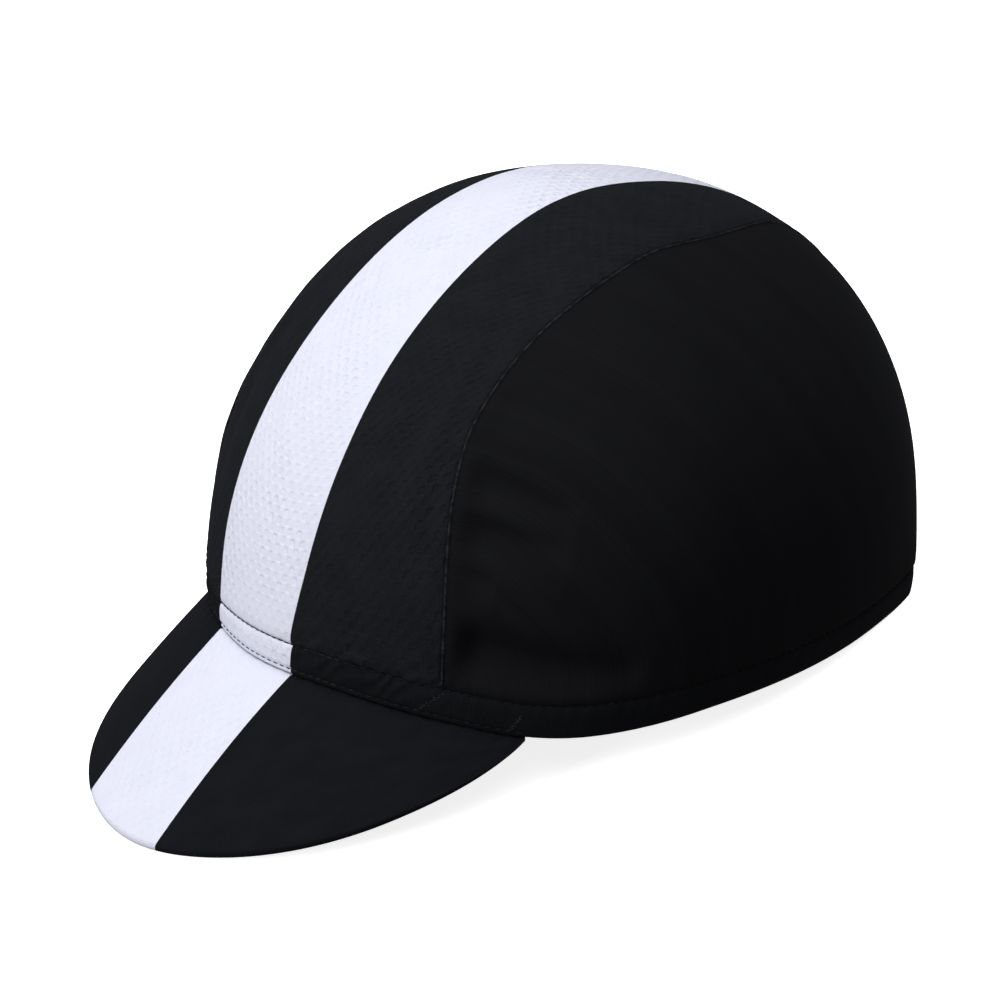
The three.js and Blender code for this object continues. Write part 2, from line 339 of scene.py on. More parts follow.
class CapSewing(bpy.types.PropertyGroup):
    """Sizes of the seams, stitches and puckers"""

    front_row: length("Height of the upper stitches at the front and rear", 0.0072)
    side_row: length("Height of the upper stitches at the sides", 0.0088)
    lower_row: length("Height of the stitches that hold the peak", 0.0013)
    stitch: length("Length of one stitch", 0.0022)
    stitch_gap: length("Gap between stitches of the upper row", 0.0001)
    lower_gap: length("Gap between stitches of the lower row", 0.0006)
    thread: length("Radius of the thread", 0.00013)
    ridge: length("Height of the rolled edge along a seam", 0.00034)
    groove: length("Depth of the dip beside a seam", 0.0003)
    crumple: length("Height of the small crumples over the front hem", 0.00055)
    row_dip: length("How far the upper stitches sag at the front", 0.0013)
    bulge: length("How far the crown puffs over the upper stitches", 0.0006)
    pucker: length("Height of the puckers along the stitches", 0.00014)
    pucker_pitch: length("Spacing of the puckers", 0.0052)


class CapColours(bpy.types.PropertyGroup):
    """Colours of the cloth, print and thread"""

    mesh: colour("Middle panel", (0.0084, 0.0092, 0.0115))
    fine: colour("Side panels", (0.0056, 0.0058, 0.0071))
    hem: colour("Hem band", (0.0056, 0.0060, 0.0076))
    peak: colour("Peak", (0.0056, 0.0061, 0.0078))
    print: colour("Printed stripe", (0.63, 0.642, 0.745))
    thread: colour("Stitches", (0.0055, 0.0057, 0.0068))
    worn_thread: colour("Worn stitches and tacks", (0.015, 0.0155, 0.018))
    floor: colour("Floor of the stage", (0.985, 0.985, 0.985))


class CapStage(bpy.types.PropertyGroup):
    """Camera and light"""

    azimuth: angle("Camera's turn about the cap from the front", 58.861)
    elevation: angle("Camera's height over level", 25.188)
    roll: angle("Camera's roll", -9.363)
    distance: length("From the aim point to the camera", 0.56513)
    aim_height: length("Height of the point aimed at", 0.05)
    aim_right: length("Aim point's place to the right in the picture", 0.005098)
    aim_up: length("Aim point's place upward in the picture", -0.008027)
    lens: share("Focal length in millimetres on a 36 mm sensor", 82.67)
    key: share("Strength of the soft light from the camera's left", 1.9)
    top: share("Strength of the soft light from overhead", 1.85)
    fill: share("Strength of the soft light from the camera's side", 0.75)
    sky: share("Strength of the light from all round", 0.2)
    floor_glow: share("Light that the floor gives off, which softens the shadow", 0.83)


def settings():
    """The cap's sizes and sewing"""
    scene = bpy.context.scene
    return scene.cap_form, scene.cap_sewing


# Curves and the crown's form, worked out in the rim frame: the hem at the sides lies near z = 0 there


def read_table(rows, column, x):
    """A smooth curve through a table's rows"""
    at = np.array([row["at"] for row in rows], float)
    value = np.array([row[column] for row in rows], float)
    i = np.clip(np.searchsorted(at, x) - 1, 0, len(at) - 2)
    before = np.maximum(np.arange(len(at)) - 1, 0)
    after = np.minimum(np.arange(len(at)) + 1, len(at) - 1)
    slope = (value[after] - value[before]) / (at[after] - at[before])
    span = at[i + 1] - at[i]
    s = np.clip((x - at[i]) / span, 0, 1)
    s2, s3 = s * s, s * s * s
    start = (2 * s3 - 3 * s2 + 1) * value[i] + (s3 - 2 * s2 + s) * span * slope[i]
    end = (3 * s2 - 2 * s3) * value[i + 1] + (s3 - s2) * span * slope[i + 1]
    return start + end


def graded(count, crowding, reach, ends=(True, True)):
    """Shares from 0 to 1 that crowd towards one or both ends"""
    fine = np.linspace(0, 1, 4001)
    density = np.ones_like(fine)
    if ends[0]:
        density += crowding * np.exp(-fine / reach)
    if ends[1]:
        density += crowding * np.exp(-(1 - fine) / reach)
    total = np.concatenate([[0], np.cumsum((density[1:] + density[:-1]) / 2)])
    return np.interp(np.linspace(0, 1, count), total / total[-1], fine)


def bell(distance, width):
    return np.exp(-((distance / width) ** 2))


def hem_edge(turn):
    """Height of the hem's lower edge at an angle from the front"""
    form = bpy.context.scene.cap_form
    around = np.degrees(np.arccos(np.cos(turn)))
    return form.crown_height * read_table(HEM_EDGE, "height", around)


def quarter(rise, power):
    return np.maximum(1 - rise**power, 0) ** (1 / power)


def crown_point(turn, rise):
    """Point of the crown's smooth outer face: angle from the front, rise from 0 at the hem to 1 on top"""
    form = bpy.context.scene.cap_form
    turn, rise = np.broadcast_arrays(turn, rise)
    up = np.sin(rise * math.pi / 2)
    cosine, sine = np.cos(turn), np.sin(turn)
    front = cosine > 0
    power = np.where(front, FRONT_SQUARENESS, REAR_SQUARENESS)
    plan = (np.abs(cosine) ** power + np.abs(sine) ** power) ** (-1 / power)
    swell = np.sin(rise * math.pi) * (1 - SWELL_FADE * up)
    side = quarter(up, SIDE_POWER) * (1 + SIDE_SWELL * swell)
    rear = quarter(up, REAR_POWER) * (1 + REAR_SWELL * swell)
    end = np.where(front, quarter(up, FRONT_POWER), rear)
    depth = np.where(front, form.front_depth, form.rear_depth)
    edge = hem_edge(turn)
    x = form.half_width * plan * sine * side
    y = -depth * plan * cosine * end + form.top_shift * up**LEAN_POWER
    return np.stack([x, y, edge + (form.crown_height - edge) * up], axis=-1)


def unit(vectors):
    return vectors / np.linalg.norm(vectors, axis=-1, keepdims=True)


def crown_normal(turn, rise):
    low = np.maximum(rise - RISE_STEP, 0)
    high = np.minimum(rise + RISE_STEP, 0.999)
    across = crown_point(turn + RISE_STEP, rise) - crown_point(turn - RISE_STEP, rise)
    upward = crown_point(turn, high) - crown_point(turn, low)
    return unit(np.cross(across, upward))


def off_crown(turn, rise, out):
    """Point a distance outward from the crown's smooth outer face"""
    turn, rise = np.broadcast_arrays(turn, rise)
    return crown_point(turn, rise) + crown_normal(turn, rise) * np.asarray(out)[..., None]


def rise_at(turn, height):
    """Rise that lies a height above the hem's lower edge"""
    form = bpy.context.scene.cap_form
    return 2 / math.pi * np.arcsin(height / (form.crown_height - hem_edge(turn)))


def height_at(turn, rise):
    """Height above the hem's lower edge"""
    form = bpy.context.scene.cap_form
    edge = hem_edge(turn)
    return (form.crown_height - edge) * np.sin(rise * math.pi / 2)


def start_rise(turn):
    """Rise where the panels' solids start, over the hem solid and the gap"""
    form = bpy.context.scene.cap_form
    return rise_at(turn, form.hem_height + form.gap)


def plan_polar(across, along):
    """Angle and rise of a point of the plan circle, whose radius is 1 where the panels' solids start"""
    turn = np.arctan2(across, -along)
    return turn, np.minimum(1 + (start_rise(turn) - 1) * np.hypot(across, along), TOP_RISE)


def stitch_row(turn):
    """Height of the upper stitches above the hem's lower edge"""
    sewing = bpy.context.scene.cap_sewing
    sag = sewing.row_dip * bell(turn - SAG_AT, SAG_WIDTH)
    return sewing.front_row + (sewing.side_row - sewing.front_row) * np.sin(turn) ** 2 - sag


def edge_radius(turn):
    """Plan radius of the upper stitches, a little over 1"""
    return (1 - rise_at(turn, stitch_row(turn))) / (1 - start_rise(turn))


def middle_plan(along_share, across_share):
    """Plan point of the middle panel: shares from front to rear and from the middle to the seam"""
    along_share, across_share = np.broadcast_arrays(along_share, across_share)
    half = read_table(SEAM, "half", along_share)
    front = -np.sqrt(1 - (across_share * SEAM[0]["half"]) ** 2)
    rear = np.sqrt(1 - (across_share * SEAM[-1]["half"]) ** 2)
    return across_share * half, front + (rear - front) * along_share


def seam_plan(count):
    """Plan points along the left seam, from the front stitches over the top to the rear ones"""
    points = np.pad(middle_plan(np.linspace(0, 1, count), 1.0), ((0, 0), (1, 1)), "edge")
    for end in (0, -1):
        points[:, end] *= edge_radius(np.arctan2(points[0, end], -points[1, end]))
    return points


# Relief of the cloth: folds, puckers and seams


def fold_depth(turn, rise, distance):
    """Folds that start at the seam: steep above, easy below, shallow beside the seam and the stitches"""
    form = bpy.context.scene.cap_form
    degrees = np.degrees(np.abs(turn))
    total = 0
    for fold in FOLDS:
        run = np.clip((degrees - FOLD_SEAM) / (fold["end"] - FOLD_SEAM), 0, 1)
        middle = fold["seam_rise"] + (fold["end_rise"] - fold["seam_rise"]) * run
        away = (rise - middle) * (RISE_LENGTH * form.crown_height)
        width = fold["width"] * np.where(away > 0, form.fold_width, form.fold_run)
        total += form.fold_depth * fold["depth"] * (1 - run) ** FOLD_FADE * bell(away, width)
    above = height_at(turn, rise) - stitch_row(turn)
    clear = (1 - bell(distance, form.fold_start)) * (1 - bell(np.maximum(above, 0), form.fold_start))
    return total * clear**2


def crease_depth(turn, rise):
    """Upright creases of the middle panel, each on both sides of the stripe"""
    form = bpy.context.scene.cap_form
    degrees = np.degrees(np.abs(turn))
    total = 0
    for crease in CREASES:
        run = np.clip((rise - crease["low"]) / (crease["high"] - crease["low"]), 0, 1)
        away = np.radians(degrees - crease["at"] - CREASE_LEAN * (run - 0.5)) * form.half_width
        depth = form.fold_depth * crease["depth"] * np.sin(run * math.pi)
        total += depth * bell(away, form.fold_run * crease["width"])
    return total


def crumples(turn, above):
    """Small crumples over the black part of the front hem"""
    form, sewing = settings()
    arc = turn * form.half_width
    away = np.abs(arc)
    place = np.clip((away - form.stripe) / CRUMPLE["start"], 0, 1)
    place *= np.clip((CRUMPLE["end"] - away) / CRUMPLE["fade"], 0, 1)
    bend = CRUMPLE_ACROSS["swing"] * np.sin(arc / CRUMPLE_ACROSS["bend"])
    across = np.sin(arc / CRUMPLE_ACROSS["pitch"] + bend)
    bend = CRUMPLE_UP["swing"] * np.sin(arc / CRUMPLE_UP["bend"])
    upward = np.sin(above / CRUMPLE_UP["pitch"] + arc / CRUMPLE_UP["slant"] + bend)
    return sewing.crumple * place * across * upward * np.exp(-np.abs(above) / CRUMPLE["reach"])


def unevenness(turn, rise):
    """Slow waves of soft cloth"""
    total = 0
    for row in WAVES:
        across = np.sin(row["round"] * turn + row["round_phase"])
        total += row["height"] * (across * np.sin(row["up"] * rise + row["up_phase"]))
    return total


def pucker(turn, height):
    """Puckers that the upper stitches draw into the cloth"""
    form, sewing = settings()
    arc = turn * (form.half_width + form.rear_depth) / 2
    phase = arc / sewing.pucker_pitch * TAU
    beat = 0.6 + 0.4 * np.sin(phase * 0.37 + 1.1) * np.sin(phase * 0.13 + 0.4)
    folds = np.sin(phase + 1.6 * np.sin(phase * 0.21)) * beat
    away = np.abs(height - stitch_row(turn))
    return sewing.pucker * folds * np.exp(-away / PUCKER_REACH)


def crown_relief(turn, rise):
    """How far the crown's cloth stands off its smooth form, seams apart"""
    sewing = bpy.context.scene.cap_sewing
    above = height_at(turn, rise) - stitch_row(turn)
    rear = 0.5 - 0.5 * np.cos(turn)
    puff = (1 - np.exp(-above / PUFF_START)) * np.exp(-above / PUFF_REACH)
    bulge = sewing.bulge * (1 + 0.6 * rear) * puff
    dip = 0.75 * sewing.groove * np.exp(-above / DIP_REACH)
    relief = unevenness(turn, rise) + pucker(turn, above + stitch_row(turn)) + bulge - dip
    return relief + crumples(turn, above)


def seam_distance(points):
    """Distance to the nearer seam on the smooth crown, and how far along it"""
    seam = crown_point(*plan_polar(*seam_plan(SEAM_POINTS)))
    tree = kdtree.KDTree(len(seam))
    for i, point in enumerate(seam):
        tree.insert(point, i)
    tree.balance()
    found = [tree.find((abs(x), y, z)) for x, y, z in points.reshape(-1, 3)]
    distance = np.array([hit[2] for hit in found]).reshape(points.shape[:-1])
    along = arc_lengths(seam, 0)[[hit[1] for hit in found]].reshape(points.shape[:-1])
    return distance, along


def seam_relief(distance, along, rolled):
    """The side panel's edge is rolled over the seam; the middle panel dips under it"""
    sewing = bpy.context.scene.cap_sewing
    uneven = 1 + 0.25 * np.sin(along / (3.1 * MM)) * np.sin(along / (7.7 * MM) + 1)
    if rolled:
        roll = sewing.ridge * uneven * bell(distance - ROLL["at"], ROLL["width"])
        return roll - 0.4 * sewing.groove * bell(distance, ROLL["groove"])
    puff = 0.35 * sewing.ridge * bell(distance - PUFF["at"], PUFF["width"])
    return puff - sewing.groove * uneven * bell(distance, PUFF["groove"])


# The peak's form, and the floor: the cap tips until the peak's edge and the hem's rear are level


def peak_corner_turn():
    """Angle from the front of the peak's two corners"""
    form = bpy.context.scene.cap_form
    return math.asin(form.peak_half_width / form.half_width)


def peak_taper(side):
    """1 over most of the peak, falling to a little at its two corners"""
    return np.sqrt(np.maximum(1 - np.abs(side) ** PEAK_CORNER_POWER, PEAK_CORNER_LEAST))


def peak_reach(side):
    """How far the peak reaches at a place from side to side"""
    form = bpy.context.scene.cap_form
    bulk = np.maximum(1 - np.abs(side) ** PEAK_INNER_POWER, 0) ** (1 / PEAK_OUTER_POWER)
    return form.peak_corner * peak_taper(side) + (form.peak_length - form.peak_corner) * bulk


def peak_root(side, out):
    """The line along the hem's lower edge that the peak starts from, side from -1 to 1"""
    root = off_crown(peak_corner_turn() * side, 0.0, out)
    root[..., 2] -= bpy.context.scene.cap_form.gap
    return root


def peak_top(side, reach_share):
    """Point of the peak's smooth top, from its root at 0 to its free edge at 1"""
    form = bpy.context.scene.cap_form
    side, reach_share = np.broadcast_arrays(side, reach_share)
    reach = peak_reach(side) * reach_share
    ahead = -math.cos(form.peak_slope) * reach
    fall = -math.sin(form.peak_slope) * reach - form.peak_drop * (reach / form.peak_length) ** 2
    aside = PEAK_SPREAD * side * reach
    return peak_root(side, form.hem_proud) + np.stack([aside, ahead, fall], axis=-1)


def peak_normal(side, reach_share):
    step = 0.01
    side, reach_share = np.broadcast_arrays(side, reach_share)
    left, right = np.maximum(side - 2 * step, -1), np.minimum(side + 2 * step, 1)
    near, far = np.maximum(reach_share - step, 0), np.minimum(reach_share + step, 1)
    across = peak_top(right, reach_share) - peak_top(left, reach_share)
    forward = peak_top(side, far) - peak_top(side, near)
    return unit(np.cross(forward, across))


def resting_place():
    """Pitch about X, and the shift along Y and Z, that set the cap down where its solids rest"""
    form = bpy.context.scene.cap_form
    around = np.linspace(-math.pi, math.pi, REST_ROUND)
    faces = form.hem_proud, form.hem_proud - form.hem_thickness
    hem = np.concatenate([off_crown(around, 0.0, out) for out in faces])
    side = np.linspace(-1, 1, REST_EDGE)
    edge = peak_top(side, 1.0)
    peak = np.concatenate([edge, edge - form.peak_thickness * peak_normal(side, 1.0)])

    def lowest(points, pitch):
        return np.min(points[:, 1] * math.sin(pitch) + points[:, 2] * math.cos(pitch))

    low, high = -math.pi / 6, math.pi / 6
    for _ in range(REST_HALVINGS):
        pitch = (low + high) / 2
        higher = lowest(peak, pitch) + form.peak_press > lowest(hem, pitch) + form.hem_press
        low, high = (pitch, high) if higher else (low, pitch)
    level = lowest(hem, pitch) + form.hem_press
    heights = np.linspace(0, form.hem_height, 5)[:, None]
    band = off_crown(around, rise_at(around, heights), form.hem_proud)
    y = band[..., 1] * math.cos(pitch) - band[..., 2] * math.sin(pitch)
    corner_low, corner_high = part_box(HEM["node"])
    middle = (corner_low[1] + corner_high[1]) / 2
    return pitch, middle - (y.min() + y.max()) / 2, -level


def spread_out(points):
    """The hem spreads and sinks behind each side, where the cap's weight presses it on the floor"""
    form = bpy.context.scene.cap_form
    x, y, z = points[..., 0], points[..., 1], points[..., 2]
    away = np.degrees(np.arctan2(np.abs(x), -y)) - SPREAD_AT
    place = np.exp(-np.sqrt((away / SPREAD_REACH) ** 2 + SPREAD_BLUNT))
    place *= np.exp(-(z / form.spread_height) ** 2 / 2)
    reach = np.maximum(np.hypot(x, y), MM)
    step = form.spread * place
    return np.stack([x + step * x / reach, y + step * y / reach, z - form.spread_drop * place], axis=-1)


def set_down(points):
    """From the rim frame to the floor, with the cloth pressed flat where it would pass the floor"""
    pitch, shift_y, shift_z = resting_place()
    points = spread_out(points)
    y = points[..., 1] * math.cos(pitch) - points[..., 2] * math.sin(pitch) + shift_y
    z = points[..., 1] * math.sin(pitch) + points[..., 2] * math.cos(pitch) + shift_z
    return np.stack([points[..., 0], y, np.maximum(z, FLOOR_CLEARANCE)], axis=-1)


# Meshes


def arc_lengths(points, axis):
    """Distance run along one axis of a grid of points"""
    steps = np.linalg.norm(np.diff(points, axis=axis), axis=-1)
    pad = [(0, 0)] * steps.ndim
    pad[axis] = (1, 0)
    return np.cumsum(np.pad(steps, pad), axis=axis)


def grid_faces(rows, columns, closed=(False, False)):
    """Quads of a grid of vertices, which may close on itself each way"""
    i, k = np.meshgrid(np.arange(rows - 1 + closed[0]), np.arange(columns - 1 + closed[1]), indexing="ij")
    row, below, beside = i * columns, (i + 1) % rows * columns, (k + 1) % columns
    return np.stack([row + k, below + k, below + beside, row + beside], -1).reshape(-1, 4)


def shell(outer, inner):
    """Closed shell between two grids: vertices, quads and the count of the outer grid's quads"""
    rows, columns = outer.shape[:2]
    count = rows * columns
    ids = np.arange(count).reshape(rows, columns)
    front = grid_faces(rows, columns)
    quads = [front, count + front[:, ::-1]]
    for border in (ids[0], ids[:, -1], ids[-1, ::-1], ids[::-1, 0]):
        quads.append(np.stack([border[:-1], border[1:], border[1:] + count, border[:-1] + count], 1))
    vertices = np.concatenate([outer.reshape(-1, 3), inner.reshape(-1, 3)])
    return vertices, np.concatenate(quads), len(front)


def signed_volume(vertices, quads):
    a, b, c, d = (vertices[quads[:, k]] for k in range(4))
    return np.sum(a * (np.cross(b, c) + np.cross(c, d))) / 6


def link_piece(name, mesh):
    """A smooth mesh becomes a piece that rides on the root"""
    mesh.polygons.foreach_set("use_smooth", np.ones(len(mesh.polygons), bool))
    mesh.update()
    piece = bpy.data.objects.new(name, mesh)
    bpy.context.scene.collection.objects.link(piece)
    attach(piece, "root")
    return piece


def make_piece(spec, vertices, quads, uv, materials, material_index=None, seam=None):
    """A closed mesh that stands for its solid"""
    if signed_volume(vertices, quads) < 0:
        quads = quads[:, ::-1]
    mesh = bpy.data.meshes.new(spec["name"])
    mesh.from_pydata(vertices.tolist(), [], quads.tolist())
    for layer, place in (("cloth", uv), ("seam", seam)):
        if place is not None:
            mesh.uv_layers.new(name=layer).data.foreach_set("uv", place[quads.ravel()].ravel())
    for material in materials:
        mesh.materials.append(material)
    if material_index is not None:
        mesh.polygons.foreach_set("material_index", material_index.astype(np.int32))
    work = bmesh.new()
    work.from_mesh(mesh)
    bmesh.ops.remove_doubles(work, verts=work.verts, dist=WELD)
    work.to_mesh(mesh)
    work.free()
    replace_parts(link_piece(spec["name"], mesh), spec["node"])


# Pieces with the printed stripe


def striped_columns(shares, x, half_width, grid, crowding, reach):
    """Shares across one row, with columns on both edges of the stripe; x is the place of each share"""
    edge = min(float(np.interp(half_width, x, shares)), 0.96)
    inner = edge * np.linspace(0, 1, grid["stripe"] + 1)
    outer = edge + (1 - edge) * graded(grid["beside"] + 1, crowding, reach, (False, True))
    half = np.concatenate([inner, outer[1:]])
    return np.concatenate([-half[:0:-1], half])


def make_striped_piece(spec, outer, inner, grid, materials):
    """A shell whose outer face has the stripe on its middle columns"""
    rows, columns = outer.shape[:2]
    centre = columns // 2
    u = arc_lengths(outer, 1)
    u -= u[:, centre : centre + 1]
    v = np.repeat(arc_lengths(outer, 0)[:, centre : centre + 1], columns, axis=1)
    uv = np.stack([u, v], -1).reshape(-1, 2)
    vertices, quads, count = shell(set_down(outer), set_down(inner))
    column = np.tile(np.arange(columns - 1), rows - 1)
    printed = np.zeros(len(quads), int)
    printed[:count] = np.abs(column + 0.5 - centre) < grid["stripe"]
    make_piece(spec, vertices, quads, np.concatenate([uv, uv]), materials, printed)


# Middle panel


def middle_rows(count):
    """Share from front to rear and stretch beyond the plan circle, one pair for each row"""
    main = graded(count, 7, 0.014)
    extra = np.array([1.0, 0.8, 0.6, 0.4, 0.2])
    shares = np.concatenate([np.zeros(5), main, np.ones(5)])
    stretch = np.concatenate([extra, np.zeros(count), extra[::-1]])
    return shares, stretch


def middle_columns(along_share):
    shares = np.linspace(0, 1, 80)
    x = crown_point(*plan_polar(*middle_plan(along_share, shares)))[:, 0]
    half_width = bpy.context.scene.cap_form.stripe * read_table(STRIPE, "width", along_share)
    return striped_columns(shares, x, half_width, MIDDLE_GRID, 6, 0.1)


def build_middle_panel():
    form = bpy.context.scene.cap_form
    shares, stretch = middle_rows(MIDDLE_GRID["rows"])
    columns = np.array([middle_columns(s) for s in shares])
    across, along = middle_plan(shares[:, None], columns)
    radius = edge_radius(np.arctan2(across, -along))
    scale = 1 + (radius - 1) * stretch[:, None]
    turn, rise = plan_polar(across * scale, along * scale)
    distance, run = seam_distance(crown_point(turn, rise))
    out = crown_relief(turn, rise) + seam_relief(distance, run, rolled=False)
    out -= crease_depth(turn, rise) * (1 - bell(distance, form.fold_start)) ** 2
    outer, inner = off_crown(turn, rise, out), off_crown(turn, rise, out - form.cloth)
    black = mesh_knit("Mesh knit, black", "mesh", **MESH)
    printed = mesh_knit("Mesh knit, printed", "print", **MESH_PRINT)
    make_striped_piece(MIDDLE, outer, inner, MIDDLE_GRID, [black, printed])


# Side panels


def build_side_panel(spec):
    form = bpy.context.scene.cap_form
    seam_across, seam_along = seam_plan(1200)
    seam = crown_point(*plan_polar(seam_across, seam_along))
    run = arc_lengths(seam, 0)
    run /= run[-1]
    s = graded(SIDE_GRID["round"], 3, 0.03)
    ends = [math.atan2(seam_across[k], -seam_along[k]) for k in (0, -1)]
    turn = ends[0] + (ends[1] - ends[0]) * s
    foot = edge_radius(turn) * np.stack([np.sin(turn), -np.cos(turn)])
    head = np.stack([np.interp(s, run, line) for line in (seam_across, seam_along)])
    across, along = foot[:, None] + (head - foot)[:, None] * graded(SIDE_GRID["up"], 9, 0.022)[:, None]
    turn, rise = plan_polar(across, along)
    smooth = crown_point(turn, rise)
    distance, along_seam = seam_distance(smooth)
    out = crown_relief(turn, rise) + seam_relief(distance, along_seam, rolled=True)
    out -= fold_depth(turn, rise, distance)
    outer, inner = off_crown(turn, rise, out), off_crown(turn, rise, out - form.cloth)
    upward = arc_lengths(outer, 1)
    around = np.interp(smooth[..., 1], smooth[:, 0, 1], arc_lengths(smooth[:, :1], 0)[:, 0])
    uv = np.stack([around, upward], -1).reshape(-1, 2)
    seam = np.stack([distance, along_seam], -1).reshape(-1, 2)
    mirror = np.array([spec["side"], 1, 1])
    vertices, quads, _ = shell(set_down(outer * mirror), set_down(inner * mirror))
    # The seam's distance and run go to the material, which paints a highlight along the rolled edge
    materials = [fine_knit("Fine knit, black", "fine", seam=True)]
    uv, seam = np.concatenate([uv, uv]), np.concatenate([seam, seam])
    make_piece(spec, vertices, quads, uv, materials, seam=seam)


# Hem band


def hem_profile(count):
    """Closed outline of the turned hem: height and thickness shares from -1 to 1"""
    form, sewing = settings()
    phase = np.linspace(math.pi, 3 * math.pi, 4001)
    cosine, sine = np.cos(phase), np.sin(phase)
    up = np.sign(sine) * np.abs(sine) ** (2 / HEM_POWER)
    through = np.sign(cosine) * np.abs(cosine) ** (2 / HEM_POWER)
    run = np.hypot(np.diff(up) * sewing.side_row, np.diff(through) * form.hem_thickness)
    run = np.concatenate([[0], np.cumsum(run)])
    at = np.linspace(0, run[-1], count, endpoint=False)
    return np.interp(at, run, up), np.interp(at, run, through)


def hem_surface(turn, up, through):
    """Point of the turned hem in the rim frame"""
    form, sewing = settings()
    height = (stitch_row(turn) - HEM_UNDER) * (0.5 + 0.5 * up)
    middle = form.hem_proud - form.hem_thickness / 2
    out = middle + form.hem_thickness / 2 * through
    held = 1 / (1 + np.exp((np.abs(turn) - peak_corner_turn()) / HEM_DENT["fade"]))
    dent = HEM_DENT["depth"] * held * bell(height - sewing.lower_row, HEM_DENT["width"])
    relief = pucker(turn, height) - dent + unevenness(turn, 0.03)
    relief = relief + crumples(turn, height - stitch_row(turn))
    out = out + np.where(through > 0, relief, 0)
    return off_crown(turn, rise_at(turn, np.maximum(height, 0)), out)


def build_hem_band():
    form = bpy.context.scene.cap_form
    print_turn = math.asin(form.stripe / form.half_width)
    front = np.linspace(-print_turn, print_turn, HEM_GRID["stripe"])
    side = np.linspace(print_turn, math.pi - print_turn, HEM_GRID["side"])
    rear = np.linspace(math.pi - print_turn, math.pi + print_turn, HEM_GRID["stripe"])
    turn = np.concatenate([front[:-1], side[:-1], rear[:-1], (side + math.pi)[:-1]])
    turn = np.where(turn > math.pi, turn - TAU, turn)
    up, through = hem_profile(HEM_GRID["section"])
    grid = hem_surface(turn[:, None], up[None, :], through[None, :])
    rows, columns = grid.shape[:2]
    closed = np.concatenate([grid, grid[:, :1]], axis=1)
    i, k = np.divmod(np.arange(rows * columns), columns)
    v = arc_lengths(closed, 1)[:, :-1]
    u = np.repeat(arc_lengths(closed, 0)[:, :1], columns, axis=1)
    uv = np.stack([u, v], -1).reshape(-1, 2)
    first, second = len(front) - 1, len(front) + len(side) - 2
    on_front = i < first
    on_rear = (i >= second) & (i < second + len(rear) - 1)
    outside = (through[k] > -0.3) | (np.roll(through, -1)[k] > -0.3)
    printed = ((on_front | on_rear) & outside).astype(int)
    quads = grid_faces(rows, columns, (True, True))
    materials = [fine_knit("Hem knit, black", "hem"), mesh_knit("Hem knit, printed", "print", **MESH_PRINT)]
    make_piece(HEM, set_down(grid).reshape(-1, 3), quads, uv, materials, printed)


# Peak


def peak_columns(reach_share):
    side = np.linspace(0, 1, 120)
    stripe = bpy.context.scene.cap_form.stripe
    return striped_columns(side, peak_top(side, reach_share)[:, 0], stripe, PEAK_GRID, 3, 0.05)


def build_peak():
    form = bpy.context.scene.cap_form
    reach = 1 - (1 - np.linspace(0, 1, PEAK_GRID["rows"])) ** PEAK_GRID["crowding"]
    side = np.array([peak_columns(row) for row in reach])
    r = reach[:, None]
    top = peak_top(side, r)
    normal = peak_normal(side, r)
    from_edge = (1 - r) * peak_reach(side)
    half = form.peak_thickness / 2 * peak_taper(side)
    round_off = np.sqrt(np.clip(1 - (1 - np.clip(from_edge / (PEAK_ROUND * half), 0, 1)) ** 2, 0, 1))
    middle = top - normal * half[..., None]
    from_root = r * peak_reach(side)
    arc = side * form.peak_half_width * PEAK_ARC
    bend = PEAK_PUCKER["swing"] * np.sin(arc / PEAK_PUCKER["bend"])
    drawn = PEAK_PUCKER["height"] * np.sin(arc / PEAK_PUCKER["pitch"] * TAU + bend)
    drawn *= np.exp(-from_root / PEAK_PUCKER["reach"])
    sag = PEAK_WAVE["height"] * np.sin(arc / PEAK_WAVE["across"] + PEAK_WAVE["phase"])
    sag *= np.sin(from_root / PEAK_WAVE["along"])
    upper = middle + normal * (half * round_off + drawn + sag)[..., None]
    lower = middle - normal * (half * round_off)[..., None]
    tuck = peak_root(side[0], form.hem_proud - 0.8 * form.hem_thickness)
    drop = form.peak_thickness / math.cos(form.peak_slope) * peak_taper(side[0])
    upper = np.concatenate([tuck[None], upper])
    lower = np.concatenate([(tuck - drop[:, None] * np.array([0, 0, 1]))[None], lower])
    black = fine_knit("Peak knit, black", "peak")
    printed = mesh_knit("Peak knit, printed", "print", **PEAK_PRINT)
    make_striped_piece(PEAK, upper, lower, PEAK_GRID, [black, printed])


# Stitches


